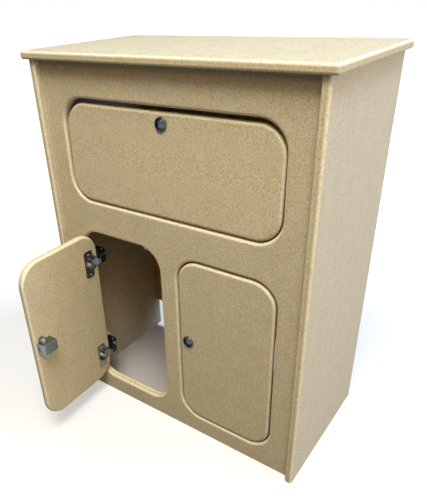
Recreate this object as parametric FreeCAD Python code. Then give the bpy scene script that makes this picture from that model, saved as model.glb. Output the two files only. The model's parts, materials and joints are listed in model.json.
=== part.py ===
import FreeCAD
import Part
import math
import os
from dataclasses import dataclass
from FreeCAD import Vector

# Campervan kitchen pod: a board cabinet with two doors and a drop-down flap. Millimetres.
# The origin is on the floor, at the middle of the front panel's lower edge.
# X runs to the right, Y into the cabinet and Z up.

# Carcass
board = 15.0
carcass_width = 600.0
side_height = 775.0
side_depth = 318.0
side_proud = 13.0
side_round = 5.0
worktop_side_overhang = 12.0
worktop_front_overhang = 8.0
worktop_round = 5.0
edge_round = 6.3

# Front panel and its openings
top_rail = 66.0
flap_hole_height = 203.0
mid_rail = 71.0
bottom_rail = 44.0
side_stile = 47.0
centre_stile = 42.0
hole_corner = 50.0

# Back panel and worktop battens
back_floor_gap = 90.0
back_top_gap = 75.0
batten_size = 20.0
batten_end_gap = 25.0
batten_screw_shares = (0.15, 0.5, 0.85)

# Dowels in the panel joints
dowel_radius = 4.0
dowel_length = 28.0
dowel_in_face = 9.0
front_dowel_shares = (0.06, 0.36, 0.64, 0.94)
shelf_dowel_shares = (0.2, 0.5, 0.8)
back_dowel_shares = (0.12, 0.5, 0.88)
divider_dowel_shares = (0.25, 0.75)

# Doors and flap
leaf_gap = 3.0
flap_top_gap = 9.0
door_open_angle = 88.0
flap_open_angle = -2.0
door_hinge_top_inset = 70.0
door_hinge_bottom_inset = 64.5
flap_hinge_inset = 85.0
door_lock_inset = 21.0
door_lock_rise = 5.0
flap_lock_inset = 20.5

# Cup hinge, door side
cup_radius = 17.5
cup_depth = 11.0
cup_wall = 0.9
cup_tab = 6.0
cup_rim = 1.2
flange = 1.2
wing_length = 64.0
wing_width = 25.0
wing_offset = 6.5
wing_corner = 6.0
wing_hole_pitch = 48.0
lug_thick = 2.0
lug_half = 2.8
cup_pivot_inset = 15.5
cup_pivot_drop = 6.0

# Cup hinge, link between the cup's pivot and the arm's pivot
link_share = 0.4
link_width = 7.2
link_waist = 16.0
link_waist_length = 10.0
link_waist_shift = 1.5
link_waist_corner = 2.0
link_thick = 2.5
link_bow = 2.0
link_side_gap = 0.3
pin_radius = 1.5
pin_clearance = 0.05
eye_radius = 2.6

# Cup hinge, cabinet side
arm_pivot_inset = 35.2
arm_pivot_drop = 3.0
cheek_thick = 2.5
arm_thick = 3.0
arm_rise = 15.0
plate_setback = 14.0
plate_length = 19.0
plate_height = 17.0
plate_width = 30.0
plate_round = 1.5
plate_corner = 9.0
plate_hole_pitch = 22.0
plate_screw_length = 30.0
arm_screw_setback = 9.0
packer_tail = 1.5
packer_height = 34.0

# Locks
knob_radius = 10.4
knob_length = 14.0
knob_dome = 26.0
knob_travel = 13.0
knob_sink = 5.0
knob_pocket = 1.4
shut_knob_out = 4.0
bezel_radius = 13.0
bezel_height = 3.0
bezel_round = 1.5
lock_gap = 0.3
barrel_wall = 1.2
case_height = 26.0
case_depth = 22.0
case_tail = 20.0
case_edge_gap = 5.5
case_round = 2.0
boss_radius = 14.5
boss_depth = 13.0
boss_round = 3.0
tongue_width = 11.0
tongue_thick = 6.5
tongue_length = 20.0
door_tongue_home = 14.0
flap_tongue_home = 8.0
tongue_set = 3.5
tongue_bevel = 4.0

# Strikes, keeper and stops behind the front panel
strike_thick = 3.0
strike_height = 40.0
strike_setback = 0.5
strike_divider_gap = 1.0
strike_hole_pitch = 26.0
keeper_thick = 2.0
keeper_plate_width = 30.0
keeper_plate_height = 22.0
keeper_lip_width = 18.0
keeper_overlap = 3.0
keeper_hole_pitch = 18.0
stop_gap = 0.3
stop_thick = 2.5
stop_width = 16.0
stop_hang = 13.0
stop_tail = 24.0
stop_inset = 39.0

# Screws and fits
screw_radius = 1.75
screw_head_radius = 3.4
screw_length = 13.0
batten_screw_length = 30.0
arm_screw_head_radius = 4.0
arm_screw_head_height = 2.2
arm_screw_radius = 2.0
arm_screw_length = 6.0
fit_gap = 0.1
edge_tolerance = 1e-6

# Sizes that follow from those above
half_width = carcass_width / 2
inner_half = half_width - board
front_y = -board / 2
panel_rear_y = board / 2
side_front_y = front_y - side_proud
rear_y = side_front_y + side_depth
back_front_y = rear_y - board
batten_front_y = panel_rear_y + batten_end_gap
batten_rear_y = rear_y - batten_end_gap
flap_hole_top = side_height - top_rail
flap_hole_bottom = flap_hole_top - flap_hole_height
door_hole_top = flap_hole_bottom - mid_rail
door_hole_height = door_hole_top - bottom_rail
hole_half = inner_half - side_stile
door_hole_width = hole_half - centre_stile / 2
leaf_corner = hole_corner - leaf_gap
leaf_edge = hole_half - leaf_gap
door_width = door_hole_width - 2 * leaf_gap
door_length = door_hole_height - 2 * leaf_gap
door_middle = bottom_rail + door_hole_height / 2
door_hinge_high = door_length / 2 - door_hinge_top_inset
door_hinge_low = door_hinge_bottom_inset - door_length / 2
flap_width = flap_hole_height - leaf_gap - flap_top_gap
flap_length = 2 * leaf_edge
flap_hinge_out = flap_length / 2 - flap_hinge_inset
shelf_bottom = flap_hole_bottom - board
back_top = side_height - back_top_gap
cup_centre = cup_tab + cup_radius
wing_u = cup_centre + wing_offset
cup_pivot_depth = board - cup_pivot_drop
arm_pivot_depth = board - arm_pivot_drop
cheek_start = link_width / 2 + link_side_gap
arm_width = 2 * (cheek_start + cheek_thick)
plate_top = plate_height - leaf_gap
arm_seat = plate_top + arm_thick / 2
plate_start = board + plate_setback
plate_end = plate_start + plate_length
knob_bore = knob_radius + lock_gap
strike_width = (centre_stile - board) / 2 - strike_setback - strike_divider_gap
pressed_face = knob_sink - bezel_height

axis_x = Vector(1, 0, 0)
axis_y = Vector(0, 1, 0)
axis_z = Vector(0, 0, 1)
cup_pivot = Vector(cup_pivot_inset, cup_pivot_depth, 0)
arm_pivot = Vector(arm_pivot_inset, arm_pivot_depth, 0)


@dataclass
class Leaf:
    """A hinged front. Its own axes are u from the hinge edge, w inward and v along the hinge."""

    name: str
    turn: float
    origin: Vector
    width: float
    length: float
    hinges: dict
    lock_inset: float
    lock_rise: float
    tongue_home: float
    open_angle: float
    knob_out: float

    @property
    def lock_u(self):
        """Where the lock's axis is, from the hinge edge."""
        return self.width - self.lock_inset

    def fixed(self, shape):
        """Put a shape made in the leaf's axes on the cabinet, as if the leaf were shut."""
        placed = shape.copy()
        placed.rotate(Vector(), axis_y, self.turn)
        placed.translate(self.origin)
        return placed

    def linked(self, shape):
        """Put a shape made in the leaf's axes on the hinge's link, which turns back as the leaf opens."""
        turned = shape.copy()
        turned.rotate(arm_pivot, axis_z, link_share * self.open_angle)
        return self.fixed(turned)

    def swung(self, shape):
        """Put a shape made in the leaf's axes on the leaf, opened to its place at rest."""
        opened = shape.copy()
        opened.rotate(cup_pivot, axis_z, -self.open_angle)
        opened.translate(link_shift(self.open_angle))
        return self.fixed(opened)


def link_shift(open_angle):
    """How far the link has carried the cup's pivot from its shut place."""
    turn = math.radians(link_share * open_angle)
    link = cup_pivot - arm_pivot
    turned = Vector(link.x * math.cos(turn) - link.y * math.sin(turn),
                    link.x * math.sin(turn) + link.y * math.cos(turn), 0)
    return turned - link


def block(x_span, y_span, z_span):
    """A box between two values on each axis."""
    spans = (x_span, y_span, z_span)
    size = [abs(end - start) for start, end in spans]
    return Part.makeBox(*size, Vector(*[min(span) for span in spans]))


def centred(middle, size):
    """The span of a size about its middle."""
    return (middle - size / 2, middle + size / 2)


def edges_in(shape, *planes):
    """The edges that lie in every plane of a list of (axis number, value)."""
    found = []
    for edge in shape.Edges:
        box = edge.BoundBox
        spans = ((box.XMin, box.XMax), (box.YMin, box.YMax), (box.ZMin, box.ZMax))
        offsets = [abs(end - value) for axis, value in planes for end in spans[axis]]
        if max(offsets) < edge_tolerance:
            found.append(edge)
    return found


def edges_along(shape, direction):
    """The straight edges parallel to a direction."""
    found = []
    for edge in shape.Edges:
        span = edge.Vertexes[-1].Point - edge.Vertexes[0].Point
        if span.Length - abs(span.dot(direction)) < edge_tolerance < span.Length:
            found.append(edge)
    return found


def rounded_plate(x_span, y_span, z_span, radius):
    """A plate square to Y with rounded corners."""
    plate = block(x_span, y_span, z_span)
    return plate.makeFillet(radius, edges_along(plate, axis_y))


def disc(u, radius, w_span):
    """A round bar along w at a distance u from the hinge edge."""
    start = Vector(u, w_span[0], 0)
    return Part.makeCylinder(radius, w_span[1] - w_span[0], start, axis_y)


def pin(centre, radius, length):
    """A round bar along v about a point."""
    return Part.makeCylinder(radius, length, centre - axis_z * (length / 2), axis_z)


def strip(points, thickness, width):
    """A flat bar bent along points, with round elbows."""
    pieces = []
    for start, end in zip(points, points[1:]):
        run = end - start
        piece = block((0, run.Length), centred(0, thickness), centred(0, width))
        piece.rotate(Vector(), axis_z, math.degrees(math.atan2(run.y, run.x)))
        piece.translate(start)
        pieces.append(piece)
    pieces += [pin(point, thickness / 2, width) for point in points[1:-1]]
    return pieces[0].multiFuse(pieces[1:]).removeSplitter()


def screw(point, direction, length=screw_length, grow=0.0):
    """A countersunk screw with its head flush at a point; grow widens it into its hole."""
    thin = screw_radius + grow
    neck = point + direction * (screw_head_radius - screw_radius)
    tip = point + direction * (length - screw_radius)
    head = Part.makeCone(screw_head_radius + grow, thin, (neck - point).Length, point, direction)
    shank = Part.makeCylinder(thin, (tip - neck).Length, neck, direction)
    end = Part.makeCone(thin, thin / 2, screw_radius + grow, tip, direction)
    return head.fuse([shank, end]).removeSplitter()


def dowel(point, direction, grow=0.0):
    """A dowel through a joint's face, going into the edge of the other panel."""
    start = point - direction * (dowel_in_face + grow)
    return Part.makeCylinder(dowel_radius + grow, dowel_length + 2 * grow, start, direction)


def at_v(shapes, v):
    """Copies of some shapes moved along the hinge."""
    moved = [shape.copy() for shape in shapes]
    for shape in moved:
        shape.translate(Vector(0, 0, v))
    return moved


def make_dowels(grow=0.0):
    """The dowels between the panels, or their bores."""
    dowels = []
    for side in (-1, 1):
        x = side * inner_half
        inward = axis_x * -side
        for share in front_dowel_shares:
            dowels.append(dowel(Vector(x, 0, share * side_height), inward, grow))
        for share in shelf_dowel_shares:
            y = panel_rear_y + share * (back_front_y - panel_rear_y)
            dowels.append(dowel(Vector(x, y, shelf_bottom + board / 2), inward, grow))
        for share in back_dowel_shares:
            z = back_floor_gap + share * (back_top - back_floor_gap)
            dowels.append(dowel(Vector(x, rear_y - board / 2, z), inward, grow))
    for share in divider_dowel_shares:
        dowels.append(dowel(Vector(0, panel_rear_y, share * shelf_bottom), axis_y, grow))
        z = back_floor_gap + share * (shelf_bottom - back_floor_gap)
        dowels.append(dowel(Vector(0, back_front_y, z), -axis_y, grow))
    return dowels


def make_battens():
    """The battens under the worktop's ends."""
    z_span = (side_height - batten_size, side_height)
    return [block((side * (inner_half - batten_size), side * inner_half),
                  (batten_front_y, batten_rear_y), z_span) for side in (-1, 1)]


def batten_screws(grow=0.0):
    """Screws from the battens up into the worktop and out into the side panels."""
    screws = []
    half = batten_size / 2
    for side in (-1, 1):
        for share in batten_screw_shares:
            y = batten_front_y + share * (batten_rear_y - batten_front_y)
            up = Vector(side * (inner_half - half), y - half, side_height - batten_size)
            out = Vector(side * (inner_half - batten_size), y + half, side_height - half)
            screws.append(screw(up, axis_z, batten_screw_length, grow))
            screws.append(screw(out, axis_x * side, batten_screw_length, grow))
    return screws


def make_front_panel():
    """The front panel with its three openings, rounded over on the front."""
    panel = block((-inner_half, inner_half), (front_y, panel_rear_y), (0, side_height))
    through = (front_y - board, panel_rear_y + board)
    flap_span = (flap_hole_bottom, flap_hole_top)
    holes = [rounded_plate((-hole_half, hole_half), through, flap_span, hole_corner)]
    for side in (-1, 1):
        x_span = (side * centre_stile / 2, side * hole_half)
        holes.append(rounded_plate(x_span, through, (bottom_rail, door_hole_top), hole_corner))
    outline = [edge.CenterOfMass for edge in panel.Edges]
    panel = panel.cut(holes)
    rims = [edge for edge in edges_in(panel, (1, front_y))
            if min((edge.CenterOfMass - middle).Length for middle in outline) > edge_tolerance]
    return panel.makeFillet(edge_round, rims)


def make_side(side):
    """A side panel with its front edges rounded."""
    panel = block((side * inner_half, side * half_width), (side_front_y, rear_y), (0, side_height))
    uprights = [edge for edge in edges_along(panel, axis_z) if edge.CenterOfMass.y < front_y]
    return panel.makeFillet(side_round, uprights)


def make_worktop():
    """The worktop, rounded everywhere but at the rear."""
    half = half_width + worktop_side_overhang
    front = side_front_y - worktop_front_overhang
    top = block((-half, half), (front, rear_y), (side_height, side_height + board))
    rounded = [edge for edge in top.Edges if edge.BoundBox.YMin < front_y]
    return top.makeFillet(worktop_round, rounded)


def cup_screws(grow=0.0):
    """The two screws through a cup's wing plate."""
    return [screw(Vector(wing_u, board + flange, v), -axis_y, grow=grow)
            for v in centred(0, wing_hole_pitch)]


def hinge_cup():
    """The cup with its wing plate, a notch for the link and the two lugs that hold the pin."""
    floor = board - cup_depth
    top = board + flange
    cup = disc(cup_centre, cup_radius, (floor, board))
    rim = disc(cup_centre, cup_radius + cup_rim, (board, top))
    wing = rounded_plate(centred(wing_u, wing_width), (board, top), centred(0, wing_length), wing_corner)
    hollow = disc(cup_centre, cup_radius - cup_wall, (floor + cup_wall, 2 * top))
    notch = block((0, cup_pivot_inset), (board, 2 * top), centred(0, link_waist + 2 * link_side_gap))
    shell = cup.fuse([rim, wing]).cut([hollow, notch] + cup_screws(fit_gap))
    u_span = centred(cup_pivot_inset, 2 * lug_half)
    w_span = (floor + cup_wall, cup_pivot_depth + lug_half)
    lugs = [block(u_span, w_span, (side * cheek_start, side * (cheek_start + lug_thick)))
            for side in (-1, 1)]
    bore = pin(cup_pivot, pin_radius + pin_clearance, arm_width)
    return shell.fuse(lugs).cut(bore).removeSplitter()


def hinge_link():
    """The bowed link, with a pin at each end for the cup's lugs and the arm's cheeks."""
    along = (arm_pivot - cup_pivot).normalize()
    bend = (arm_pivot + cup_pivot) / 2 + Vector(along.y, -along.x, 0) * link_bow
    link = strip([cup_pivot, bend, arm_pivot], link_thick, link_width)
    eyes = [pin(centre, eye_radius, link_width) for centre in (cup_pivot, arm_pivot)]
    pins = [pin(cup_pivot, pin_radius, 2 * (cheek_start + lug_thick)),
            pin(arm_pivot, pin_radius, arm_width)]
    waist = rounded_plate(centred(0, link_waist_length), centred(0, link_thick), centred(0, link_waist),
                          link_waist_corner)
    waist.rotate(Vector(), axis_z, math.degrees(math.atan2(along.y, along.x)))
    waist.translate(bend + along * link_waist_shift)
    return link.fuse(eyes + pins + [waist]).removeSplitter()


def arm_screws(grow=0.0):
    """The screw that holds an arm on its plate."""
    point = Vector(arm_seat + arm_thick / 2, plate_start + arm_screw_setback, 0)
    head = Part.makeCylinder(arm_screw_head_radius, arm_screw_head_height, point, axis_x)
    shank = Part.makeCylinder(arm_screw_radius + grow, arm_screw_length + grow, point, -axis_x)
    return [shank if grow else head.fuse(shank).removeSplitter()]


def hinge_arm():
    """The cranked arm, from its two cheeks on the link to its seat on the mounting plate."""
    neck = arm_pivot + axis_y * (eye_radius + link_side_gap + arm_thick / 2)
    path = [neck, arm_pivot + axis_y * arm_rise,
            Vector(arm_seat, plate_start, 0), Vector(arm_seat, plate_end, 0)]
    cheeks = []
    for side in (-1, 1):
        v_span = (side * cheek_start, side * (cheek_start + cheek_thick))
        w_span = (arm_pivot_depth, neck.y + arm_thick / 2)
        cheeks.append(block(centred(arm_pivot_inset, 2 * eye_radius), w_span, v_span))
        cheeks.append(Part.makeCylinder(eye_radius, cheek_thick, arm_pivot + axis_z * min(v_span)))
    arm = strip(path, arm_thick, arm_width).fuse(cheeks)
    bore = pin(arm_pivot, pin_radius + pin_clearance, 2 * arm_width)
    return arm.cut([bore] + arm_screws(fit_gap)).removeSplitter()


def plate_screws(grow=0.0):
    """The screws through a mounting plate."""
    middle = plate_start + plate_length / 2
    return [screw(Vector(plate_top, middle, v), -axis_x, plate_screw_length, grow)
            for v in centred(0, plate_hole_pitch)]


def mounting_plate():
    """The raised plate that carries an arm."""
    plate = block((-leaf_gap, plate_top), (plate_start, plate_end), centred(0, plate_width))
    plate = plate.makeFillet(plate_corner, edges_in(plate, (1, plate_end), (2, plate_width / 2))
                             + edges_in(plate, (1, plate_end), (2, -plate_width / 2)))
    plate = plate.makeFillet(plate_round, edges_in(plate, (0, plate_top)))
    return plate.cut(arm_screws(fit_gap) + plate_screws(fit_gap))


def hinge_packer():
    """The block that brings a mounting plate out to the edge of its opening."""
    packer = block((-leaf_gap - side_stile, -leaf_gap), (board, plate_end + packer_tail),
                   centred(0, packer_height))
    return packer.cut(plate_screws(fit_gap))


def leaf_panel(leaf):
    """A door or flap panel, rounded over on both faces and bored for its fittings."""
    panel = rounded_plate((0, leaf.width), (0, board), centred(0, leaf.length), leaf_corner)
    panel = panel.makeFillet(edge_round, edges_in(panel, (1, 0)) + edges_in(panel, (1, board)))
    lock_bore = disc(leaf.lock_u, knob_bore + barrel_wall + fit_gap, (-board, 2 * board))
    bores = at_v([lock_bore], leaf.lock_rise)
    cup_bore = disc(cup_centre, cup_radius + fit_gap, (board - cup_depth - fit_gap, 2 * board))
    for v in leaf.hinges.values():
        bores += at_v([cup_bore] + cup_screws(fit_gap), v)
    return panel.cut(bores)


def lock_case(leaf):
    """The lock's case on the inner face, with the barrel that fills the bore in the panel."""
    u = leaf.lock_u
    rear = board + case_depth
    body = block((u - case_tail, leaf.width - case_edge_gap), (board, rear), centred(0, case_height))
    body = body.makeFillet(case_round, edges_in(body, (1, rear)) + edges_along(body, axis_y))
    boss = disc(u, boss_radius, (board, board + boss_depth))
    boss = boss.makeFillet(boss_round, edges_in(boss, (1, board + boss_depth)))
    barrel = disc(u, knob_bore + barrel_wall, (0, board))
    bore = disc(u, knob_bore, (-board, board + knob_pocket))
    near = board + tongue_set - lock_gap
    home = u + leaf.tongue_home
    channel = block((home - tongue_length - lock_gap, home + tongue_length),
                    (near, near + tongue_thick + 2 * lock_gap), centred(0, tongue_width + 2 * lock_gap))
    return body.fuse([boss, barrel]).cut([bore, channel]).removeSplitter()


def lock_bezel(leaf):
    """The ring round the knob on the outer face."""
    ring = disc(leaf.lock_u, bezel_radius, (-bezel_height, 0))
    ring = ring.makeFillet(bezel_round, edges_in(ring, (1, -bezel_height)))
    return ring.cut(disc(leaf.lock_u, knob_bore, (-2 * bezel_height, bezel_height)))


def lock_knob(leaf):
    """The push knob, with a domed face."""
    face = pressed_face - leaf.knob_out
    knob = disc(leaf.lock_u, knob_radius, (face, face + knob_length))
    return knob.common(Part.makeSphere(knob_dome, Vector(leaf.lock_u, face + knob_dome, 0)))


def lock_tongue(leaf):
    """The sliding tongue, bevelled on the side that meets its strike."""
    tip = leaf.lock_u + leaf.tongue_home + knob_travel - leaf.knob_out
    near = board + tongue_set
    far = near + tongue_thick
    tongue = block((tip - tongue_length, tip), (near, far), centred(0, tongue_width))
    return tongue.makeChamfer(tongue_bevel, edges_in(tongue, (0, tip), (1, far)))


def strike_screws(leaf, grow=0.0):
    """The screws through a door's strike."""
    u = leaf.width + leaf_gap + strike_setback + strike_width / 2
    return [screw(Vector(u, board + strike_thick, v), -axis_y, grow=grow)
            for v in centred(leaf.lock_rise, strike_hole_pitch)]


def strike(leaf):
    """The plate behind the stile that a door's tongue holds on to."""
    start = leaf.width + leaf_gap + strike_setback
    plate = block((start, start + strike_width), (board, board + strike_thick),
                  centred(leaf.lock_rise, strike_height))
    return plate.cut(strike_screws(leaf, fit_gap))


def keeper_screws(leaf, grow=0.0):
    """The screws through the flap's keeper."""
    u = leaf.width + flap_top_gap + keeper_plate_height / 2
    return [screw(Vector(u, board + keeper_thick, v), -axis_y, grow=grow)
            for v in centred(0, keeper_hole_pitch)]


def keeper(leaf):
    """The bent strip behind the top rail that stops the flap and takes its tongue."""
    edge = leaf.width + flap_top_gap
    lean = math.radians(-leaf.open_angle)
    lean_depth = (leaf.width - cup_pivot_inset) * math.sin(lean) + link_shift(leaf.open_angle).y
    near = board + lean_depth + stop_gap
    far = near + keeper_thick
    plate = block((edge, edge + keeper_plate_height), (board, board + keeper_thick),
                  centred(0, keeper_plate_width))
    bridge = block((edge, edge + keeper_thick), (board, far), centred(0, keeper_lip_width))
    lip = block((leaf.width - keeper_overlap, edge + keeper_thick), (near, far),
                centred(0, keeper_lip_width))
    return plate.fuse([bridge, lip]).cut(keeper_screws(leaf, fit_gap)).removeSplitter()


def stop_screw(leaf, grow=0.0):
    """The screw through a door stop."""
    v = math.copysign(leaf.length / 2 + leaf_gap + stop_tail / 2, leaf.hinges["upper"])
    return screw(Vector(leaf.width - stop_inset, board + stop_thick, v), -axis_y, grow=grow)


def door_stop(leaf):
    """The tab that hangs into a door's opening from its upper edge and stops the door."""
    up = math.copysign(1, leaf.hinges["upper"])
    edge = leaf.length / 2 + leaf_gap
    u_span = centred(leaf.width - stop_inset, stop_width)
    far = board + stop_thick
    tail = block(u_span, (board, far), (up * edge, up * (edge + stop_tail)))
    tab = block(u_span, (board + stop_gap, far), (up * (edge - stop_hang), up * edge))
    return tail.fuse(tab).cut(stop_screw(leaf, fit_gap)).removeSplitter()


left = Leaf("left", 0, Vector(-leaf_edge, front_y, door_middle), door_width, door_length,
            {"upper": door_hinge_high, "lower": door_hinge_low},
            door_lock_inset, door_lock_rise, door_tongue_home, door_open_angle, knob_travel)
right = Leaf("right", 180, Vector(leaf_edge, front_y, door_middle), door_width, door_length,
             {"upper": -door_hinge_high, "lower": -door_hinge_low},
             door_lock_inset, -door_lock_rise, door_tongue_home, 0, shut_knob_out)
flap = Leaf("flap", -90, Vector(0, front_y, flap_hole_bottom + leaf_gap), flap_width, flap_length,
            {"left": flap_hinge_out, "right": -flap_hinge_out},
            flap_lock_inset, 0, flap_tongue_home, flap_open_angle, shut_knob_out)
doors = (left, right)
leaves = (left, right, flap)

# Screws that stand in more than one piece, with their holes
behind_screws = []
behind_holes = []
for leaf, maker in ((left, strike_screws), (right, strike_screws), (flap, keeper_screws)):
    behind_screws += [leaf.fixed(item) for item in maker(leaf)]
    behind_holes += [leaf.fixed(item) for item in maker(leaf, fit_gap)]
for leaf in doors:
    behind_screws.append(leaf.fixed(stop_screw(leaf)))
    behind_holes.append(leaf.fixed(stop_screw(leaf, fit_gap)))
shelf_holes = [flap.fixed(item) for v in flap.hinges.values() for item in at_v(plate_screws(fit_gap), v)]
dowel_bores = make_dowels(fit_gap)
batten_holes = batten_screws(fit_gap)

# The pieces of the carcass
shelf = block((-inner_half, inner_half), (panel_rear_y, back_front_y), (shelf_bottom, flap_hole_bottom))
back = block((-inner_half, inner_half), (back_front_y, rear_y), (back_floor_gap, back_top))
divider = block(centred(0, board), (panel_rear_y, back_front_y), (0, shelf_bottom))
pieces = {
    "worktop": make_worktop().cut(batten_holes),
    "side_panel_left": make_side(-1).cut(dowel_bores + batten_holes),
    "side_panel_right": make_side(1).cut(dowel_bores + batten_holes),
    "front_panel": make_front_panel().cut(dowel_bores + behind_holes),
    "back_panel": back.cut(dowel_bores),
    "shelf": shelf.cut(dowel_bores + shelf_holes),
    "centre_divider": divider.cut(dowel_bores),
    "worktop_battens": [item.cut(batten_holes) for item in make_battens()],
    "batten_screws": batten_screws(),
    "carcass_dowels": make_dowels(),
    "strike_left": left.fixed(strike(left)),
    "strike_right": right.fixed(strike(right)),
    "flap_keeper": flap.fixed(keeper(flap)),
    "door_stops": [leaf.fixed(door_stop(leaf)) for leaf in doors],
    "strike_screws": behind_screws,
    "hinge_plate_screws": [],
    "hinge_arm_screws": [],
}

# The doors, the flap and their fittings
for leaf in leaves:
    offsets = leaf.hinges.values()
    pieces["panel_" + leaf.name] = leaf.swung(leaf_panel(leaf))
    for spot, v in leaf.hinges.items():
        tag = leaf.name + "_" + spot
        pieces["hinge_cup_" + tag] = leaf.swung(at_v([hinge_cup()], v)[0])
        pieces["hinge_arm_" + tag] = leaf.fixed(at_v([hinge_arm()], v)[0])
        pieces["hinge_plate_" + tag] = leaf.fixed(at_v([mounting_plate()], v)[0])
    pieces["hinge_links_" + leaf.name] = [leaf.linked(at_v([hinge_link()], v)[0]) for v in offsets]
    pieces["cup_screws_" + leaf.name] = []
    for v in offsets:
        pieces["cup_screws_" + leaf.name] += [leaf.swung(item) for item in at_v(cup_screws(), v)]
        pieces["hinge_plate_screws"] += [leaf.fixed(item) for item in at_v(plate_screws(), v)]
        pieces["hinge_arm_screws"] += [leaf.fixed(item) for item in at_v(arm_screws(), v)]
    for maker in (lock_case, lock_bezel, lock_knob, lock_tongue):
        raised = at_v([maker(leaf)], leaf.lock_rise)[0]
        pieces[maker.__name__ + "_" + leaf.name] = leaf.swung(raised)
for leaf in doors:
    packers = [leaf.fixed(at_v([hinge_packer()], v)[0]) for v in leaf.hinges.values()]
    pieces["hinge_packers_" + leaf.name] = packers

os.makedirs("parts", exist_ok=True)
for name, shape in pieces.items():
    whole = Part.makeCompound(shape) if isinstance(shape, list) else shape
    whole.exportStep("parts/" + name + ".step")
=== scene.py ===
"""Looks of a camping kitchen cabinet: bare fibreboard, cup hinges and push-knob locks."""

import json
import logging
import math
from dataclasses import dataclass
from enum import Enum

import bpy
import numpy as np
from mathutils import Matrix, Vector

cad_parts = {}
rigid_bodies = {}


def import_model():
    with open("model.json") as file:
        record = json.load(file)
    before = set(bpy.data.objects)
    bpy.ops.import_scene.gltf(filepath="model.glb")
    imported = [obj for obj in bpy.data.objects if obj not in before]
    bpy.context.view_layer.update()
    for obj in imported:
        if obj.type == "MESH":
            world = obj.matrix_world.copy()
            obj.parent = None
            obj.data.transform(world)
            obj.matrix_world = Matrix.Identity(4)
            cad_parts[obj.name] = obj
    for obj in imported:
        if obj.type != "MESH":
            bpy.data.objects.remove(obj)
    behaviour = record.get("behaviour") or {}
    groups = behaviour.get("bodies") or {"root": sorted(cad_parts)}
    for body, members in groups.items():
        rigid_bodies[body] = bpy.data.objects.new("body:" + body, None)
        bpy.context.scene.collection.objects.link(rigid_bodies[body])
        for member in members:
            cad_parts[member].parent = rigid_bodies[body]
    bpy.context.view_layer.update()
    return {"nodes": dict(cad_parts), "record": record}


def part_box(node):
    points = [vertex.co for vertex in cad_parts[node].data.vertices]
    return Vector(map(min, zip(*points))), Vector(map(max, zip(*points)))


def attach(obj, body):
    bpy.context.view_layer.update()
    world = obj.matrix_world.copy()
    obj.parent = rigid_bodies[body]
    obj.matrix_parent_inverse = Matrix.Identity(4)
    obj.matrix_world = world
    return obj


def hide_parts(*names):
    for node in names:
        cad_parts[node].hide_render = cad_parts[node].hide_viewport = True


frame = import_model()
MM = 0.001
BOARD = 15.0 * MM
# between these levels lies most of a noise pattern
NOISE_SPAN = (0.3, 0.7)
# edges that turn by more than this are shaded crisp
CRISP_TURN = math.radians(42)
log = logging.getLogger("cabinet")

Links = dict[str | int, object]
Socket = bpy.types.NodeSocket
Span = tuple[float, float]
Place = tuple[float, float, float]


def linear(colour: str) -> tuple[float, float, float, float]:
    """Turn an sRGB hex colour into linear red, green, blue and alpha.

    Args:
        colour: six hex digits after a #.

    Returns:
        The linear colour, opaque.
    """
    parts = [int(colour[i:i + 2], 16) / 255 for i in (1, 3, 5)]
    return (*[p / 12.92 if p <= 0.04045 else ((p + 0.055) / 1.055) ** 2.4 for p in parts], 1.0)


def per_metre(size_mm: float) -> float:
    """Return the texture scale, in cycles per metre, of a pattern of a size in millimetres."""
    return 1 / (size_mm * MM)


def put(tree: bpy.types.NodeTree, kind: str, inputs: Links | None = None,
        **settings: object) -> bpy.types.Node:
    """Add a node, set it up and link it.

    Args:
        tree: the node tree that gets the node.
        kind: the node's type name.
        inputs: socket name or number to a constant, or to the socket that feeds it.
        settings: properties of the node itself.

    Returns:
        The new node.
    """
    node = tree.nodes.new(kind)
    for key, value in settings.items():
        setattr(node, key, value)
    for key, value in (inputs or {}).items():
        if isinstance(value, Socket):
            tree.links.new(value, node.inputs[key])
        else:
            node.inputs[key].default_value = value
    return node


def blank_material(name: str) -> tuple[bpy.types.Material, bpy.types.NodeTree]:
    """Start an empty node material.

    Args:
        name: the material's name.

    Returns:
        The material and its empty node tree.
    """
    material = bpy.data.materials.new(name)
    material.use_nodes = True
    material.node_tree.nodes.clear()
    return material, material.node_tree


class Slot(Enum):
    """The record's material slots named for the new pieces."""

    ZINC = "zinc"
    CHROME = "chrome"
    SCREW_STEEL = "screw_steel"


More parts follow.
